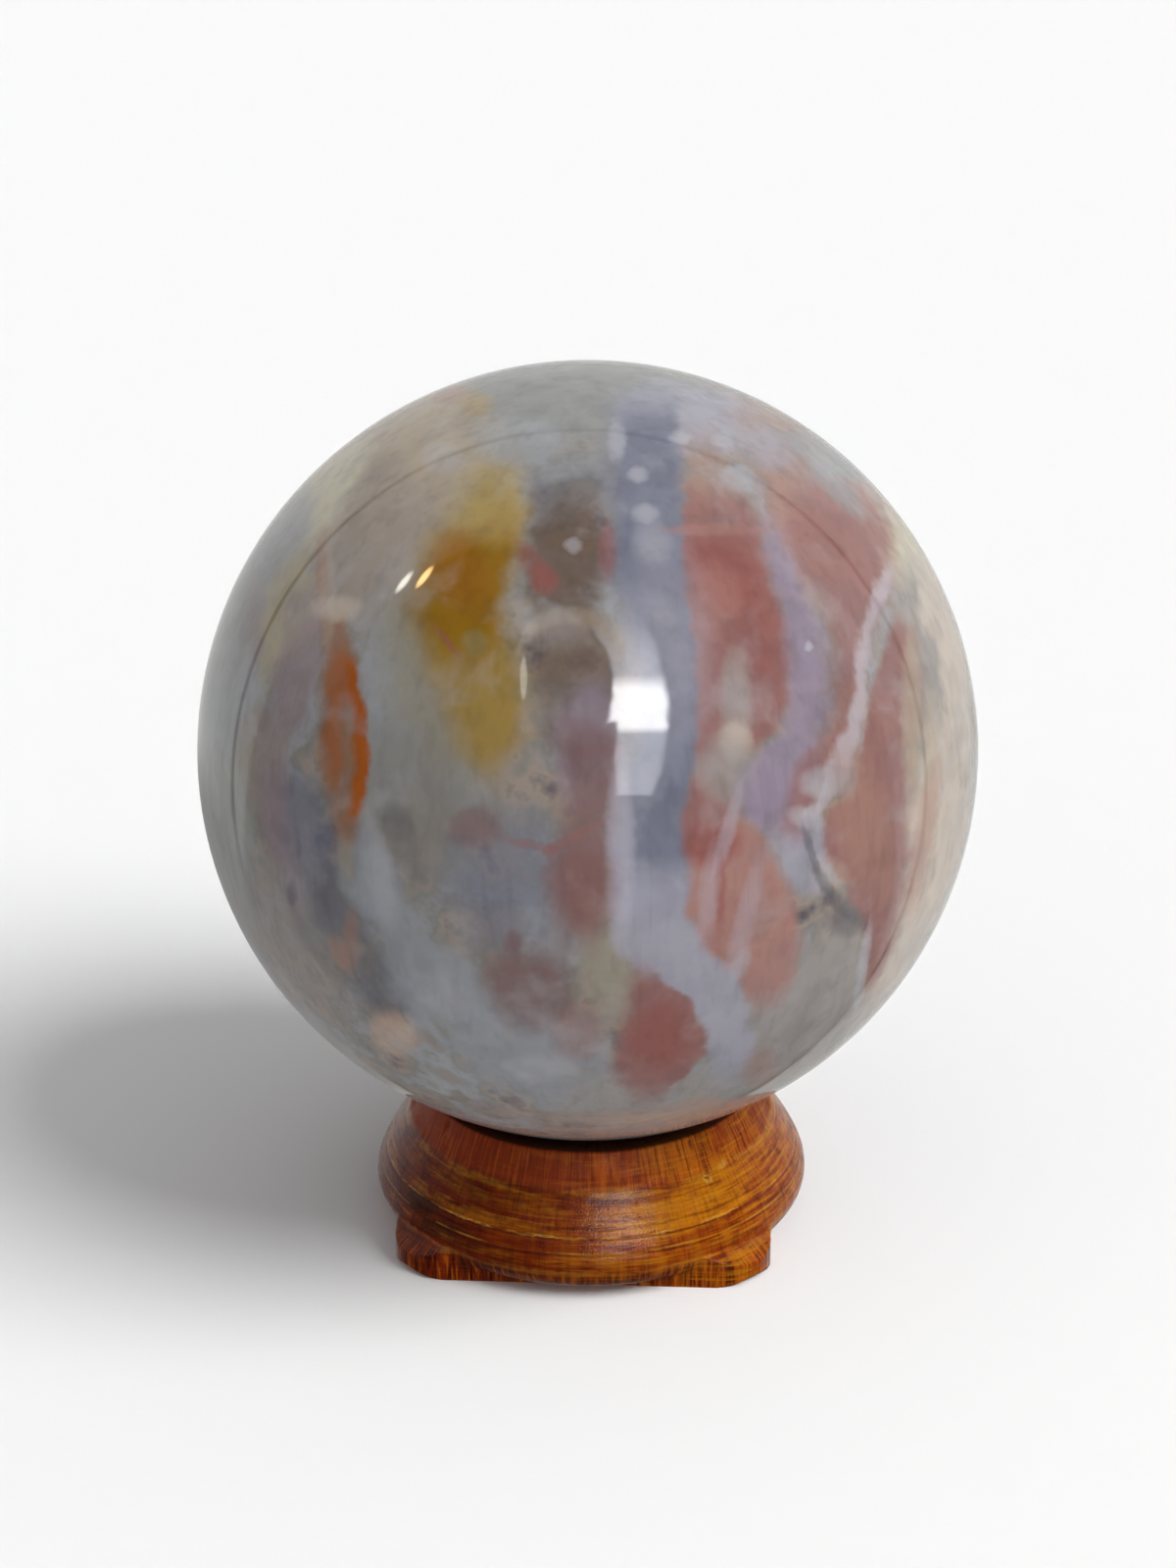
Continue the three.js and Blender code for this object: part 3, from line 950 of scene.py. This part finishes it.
# The ground between the figure is grey, clouded with slate, mauve and blue
seen = start.node("ValToRGB", {"stops": [
    (0.32, slate), (0.42, mauve_grey), (0.50, field_grey), (0.58, blue_grey), (0.68, warm_grey),
]}, {"Fac": place.grain(0.13, 4, 0.6)})
fray = (place.grain(0.5, 2, 0.5) - 0.5) * 1.2
seen = figure_layer("clouds", lay_patches, clouds, {"sheet": loose, "fray": fray, "colour": seen})
seen = figure_layer("bands", lay_bands, bands, {"sheet": close, "fray": fray, "colour": seen})
half = len(marks) // 2
for name, share in (("marks_left", marks[:half]), ("marks_right", marks[half:])):
    seen = figure_layer(name, lay_patches, share, {"sheet": tight, "fray": fray, "colour": seen})

# The stone all round: drawn-out clouds of grey and beige, lavender bands, red masses, pale veins
# and a little ochre
drawn = place.stirred(0.05, 14.0, 3).vector("MULTIPLY", (1.0, 1.0, 0.42))
colour = start.node("ValToRGB", {"stops": [
    (0.30, dark_slate), (0.40, slate_lavender), (0.48, field_grey), (0.54, cloud_grey),
    (0.60, warm_grey), (0.68, beige), (0.76, cream),
]}, {"Fac": drawn.grain(0.075, 4, 0.55)})
moved = drawn.vector("ADD", (61, 17, 40))
colour = colour.painted(mauve_grey, moved.grain(0.09, 3, 0.5).fade(0.50, 0.60) * 0.8)
masses = drawn.vector("ADD", (13, 44, 9)).grain(0.07, 4, 0.55)
mass_colour = start.node("ValToRGB", {"stops": [
    (0.3, salmon_pink), (0.5, dusty_red), (0.7, strong_red),
]}, {"Fac": moved.grain(0.2, 4, 0.6)})
lavender_bands = drawn.vector("ADD", (31, 7, 70)).grain(0.06, 3, 0.5)
colour = colour.painted(slate_lavender, lavender_bands.fade(0.53, 0.58) * 0.85)
colour = colour.painted(mass_colour, masses.fade(0.52, 0.57) * 0.9)
veins = (drawn.vector("ADD", (5, 80, 31)).grain(0.055, 3, 0.5) - 0.5).sum("ABSOLUTE")
colour = colour.painted(pale_vein, veins.fade(0.05, 0.0) * moved.grain(0.05, 2, 0.5).fade(0.48, 0.60) * 0.55)
ochre = drawn.vector("ADD", (90, 3, 12)).grain(0.06, 3, 0.5)
colour = colour.painted(pale_yellow, ochre.fade(0.63, 0.70) * 0.8)
colour = colour.painted(seen, front)

# Fine figure everywhere: milky wisps, drawn streaks and soft mottle
wisps = place.stirred(0.12, 4.0, 2).grain(0.2, 3, 0.5)
colour = colour.painted(milky_wisp, wisps.fade(0.50, 0.74, 0, 0.26))
streaks = place.stirred(0.12, 2.0, 1).vector("MULTIPLY", (1.0, 1.0, 0.16)).grain(0.8, 3, 0.5)
colour = colour.toned(streak_tint, streaks.fade(0.48, 0.70, 0, 0.24))
mottle = place.grain(0.26, 2, 0.5)
colour = colour.toned(mottle_tint, mottle.fade(0.44, 0.66, 0, 0.26))
colour.into(stone_shader.inputs["Base Color"])

# The polish is a little rougher in the two widest pits, where small crystals show
pitted = tight.patch(24.4, -3.4, 1.7, 1.4).sum("MAXIMUM", tight.patch(27.0, -17.9, 1.7, 1.0)) * front
rough = 0.03 + pitted * 0.2 + mottle.fade(0.6, 0.8, 0, 0.05)
rough.into(stone_shader.inputs["Roughness"])
crystals = place.grain(3.5, 3, 0.6) * pitted
bump = start.node("Bump", {}, {"Height": crystals, "Strength": 0.5, "Distance": 0.15 * mm}, "Normal")
bump.into(stone_shader.inputs["Normal"])

ball = add_object("stone_sphere_polished", polished_ball_mesh())
ball.data.materials.append(stone)
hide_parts("stone_sphere")
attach(ball, "root")


# The studio: a plain white floor, an even white backdrop and six soft lights, the key from the right.
# The camera alone sees floor and backdrop. What the polished ball mirrors is painted on the world
# for glossy rays, laid out by the places where the ball shows it.
floor_radius = 6.0
floor_white = (0.875, 0.875, 0.875, 1)
backdrop_white = srgb(251, 251, 251)


def stage_thing(name, shape, material):
    """Puts a thing of the studio in place, seen by the camera alone."""
    mesh = bpy.data.meshes.new(name)
    shape.to_mesh(mesh)
    shape.free()
    mesh.materials.append(material)
    thing = add_object(name, mesh)
    for ray in ("diffuse", "glossy", "transmission", "volume_scatter", "shadow"):
        setattr(thing, "visible_" + ray, False)
    return thing


floor_material = new_material(
    "white_floor", Base_Color=floor_white, Roughness=0.9, Specular_IOR_Level=0.0,
)[0]
floor_shape = bmesh.new()
bmesh.ops.create_circle(floor_shape, cap_ends=True, segments=96, radius=floor_radius)
floor = stage_thing("white_floor", floor_shape, floor_material)

backdrop_material = bpy.data.materials.new("white_backdrop")
backdrop_material.use_nodes = True
backdrop_tree = backdrop_material.node_tree
backdrop_tree.nodes.clear()
backdrop_glow = Wire(backdrop_tree).node("Emission", {}, {"Color": backdrop_white}, 0)
backdrop_glow.into(backdrop_tree.nodes.new("ShaderNodeOutputMaterial").inputs["Surface"])
backdrop_shape = bmesh.new()
bmesh.ops.create_uvsphere(backdrop_shape, u_segments=48, v_segments=24, radius=floor_radius)
stage_thing("white_backdrop", backdrop_shape, backdrop_material)

# Soft lights: name, where from, irradiance, width in degrees, and the things that they light.
# The floor has one wide light of its own, for a soft shadow. The white floor throws light up at
# the ball, and what it throws at the stand comes in low.
lamp_distance = 0.5
soft_lights = [
    ("key_light", (0.64, -0.29, 0.71), 2.8, 34, (ball, stand, floor)),
    ("floor_light", (0.46, -0.40, 0.80), 1.1, 145, (floor,)),
    ("sky_light", (0.05, -0.30, 0.95), 0.5, 160, (ball, stand)),
    ("bounce_light", (0.05, -0.55, -0.83), 2.0, 120, (ball,)),
    ("low_light", (0.20, -0.95, -0.08), 0.7, 90, (stand,)),
    ("back_light", (-0.35, 0.90, 0.20), 1.1, 140, (ball, stand)),
]
for name, source, irradiance, width, lit_things in soft_lights:
    light = bpy.data.lights.new(name, "SUN")
    light.energy = irradiance
    light.angle = math.radians(width)
    lamp = add_object(name, light)
    lamp.location = ball_centre + Vector(source) * lamp_distance
    lamp.rotation_mode = "QUATERNION"
    lamp.rotation_quaternion = (-Vector(source)).to_track_quat("-Z", "Y")
    lamp.visible_glossy = False
    lit = bpy.data.collections.new(name + "_lights")
    for thing in lit_things:
        lit.objects.link(thing)
    lamp.light_linking.receiver_collection = lit

world = bpy.data.worlds.new("studio")
bpy.context.scene.world = world
world.use_nodes = True
world_glow = world.node_tree.nodes["Background"]
start = Wire(world.node_tree)
facing = start.node("TexCoord", {}, {}, "Generated").vector("NORMALIZE")
halfway = facing.vector("ADD", tuple(to_camera)).vector("NORMALIZE")
mirror_reach = 42.4
mirrored = start.node("CombineXYZ", {}, {
    "X": halfway.along(tuple(seen_right)) * mirror_reach,
    "Y": halfway.along(tuple(seen_up)) * mirror_reach,
})
across_mirror = mirrored.part("X")
up_mirror = mirrored.part("Y")

# How bright the mirrored things are
dim_middle = (0.12, 0.12, 0.12, 1)
bright_wall = (0.64, 0.64, 0.63, 1)
bright_rim = (0.66, 0.66, 0.64, 1)
rim_black = (0, 0, 0, 1)
lower_left_grey = (0.24, 0.24, 0.24, 1)
veil_grey = (0.52, 0.52, 0.50, 1)
pane_light = (4.4, 4.5, 4.9, 1)
pane_middle = (17, 17, 17, 1)
arch_light = (2.6, 2.3, 1.9, 1)
bar_light = (4.2, 4.2, 3.8, 1)
white_glint = (14, 14, 12, 1)
amber_glint = (24, 15, 6, 1)
even_light = (0.18, 0.18, 0.18, 1)

# Bright walls round a dim middle, a thin dark line near the ball's edge, and a pale veil high up
inner_edge = mirrored.patch(-2, -10, 34, 40.2, 0, 0.012)
glow = start.node("Mix", {"data_type": "RGBA"}, {0: inner_edge, 6: bright_wall, 7: dim_middle}, 2)
outer_edge = mirrored.patch(-1, -4, 36.2, 37.2, 0, 0.006)
glow = glow.painted(bright_rim, (1 - outer_edge) * 0.8)
rim_line = mirrored.patch(-1, -4, 36.5, 37.5, 0, 0.004) * (1 - mirrored.patch(-1, -4, 36.1, 37.1, 0, 0.004))
glow = glow.painted(rim_black, rim_line)
glow = glow.painted(lower_left_grey, mirrored.along((-0.85, -0.53, 0)).fade(33.5, 38.5) * 0.9)
veil_edge = mirrored.patch(1, -5, 31, 28.5, 0, 0.012)
glow = glow.painted(veil_grey, (1 - veil_edge) * inner_edge * up_mirror.fade(5, 13))

# A bright pane with a ragged left edge, dimmer above and below, under a dim arch
uneven = mirrored.stirred(0.5, 1.3, 4)
pane = uneven.patch(0.6, 3.6, 7.4, 13.0, 0, 0.06)
shade = uneven.patch(-1.9, 6.6, 4.6, 6.2, 0, 0.07)
low_left = uneven.part("X").fade(2.6, 3.3).sum("MAXIMUM", uneven.part("Y").fade(2.6, 3.4))
opening = pane * (1 - shade) * low_left * across_mirror.fade(0.2, 1.0) * up_mirror.fade(-4.7, -4.2)
glow = glow.painted(pane_light, opening * up_mirror.fade(16.5, 8.0))
glow = glow.painted(pane_middle, opening * (up_mirror.fade(1.6, 2.6) * up_mirror.fade(8.0, 6.0)))
arch = uneven.patch(-1.7, 10.4, 5.4, 4.2, 0, 0.12)
arch = arch * (1 - uneven.patch(-1.9, 8.4, 5.0, 4.4, 0, 0.12)) * 0.7
glow = glow.painted(arch_light, arch)

# An upright bar left of the pane, and two small glints farther up and left
glow = glow.painted(bar_light, mirrored.patch(-6.5, 7.4, 0.35, 2.1, 0, 0.2))
for across, up, glint_light in ((-18.8, 17.3, white_glint), (-16.7, 17.8, amber_glint)):
    glow = glow.painted(glint_light, mirrored.patch(across, up, 0.26, 1.05, -38, 0.6))
glossy_ray = start.node("LightPath", {}, {}, "Is Glossy Ray")
seen_light = start.node("Mix", {"data_type": "RGBA"}, {0: glossy_ray, 6: even_light, 7: glow}, 2)
seen_light.into(world_glow.inputs["Color"])
world_glow.inputs["Strength"].default_value = 1.0

bpy.context.scene.view_settings.view_transform = "Standard"
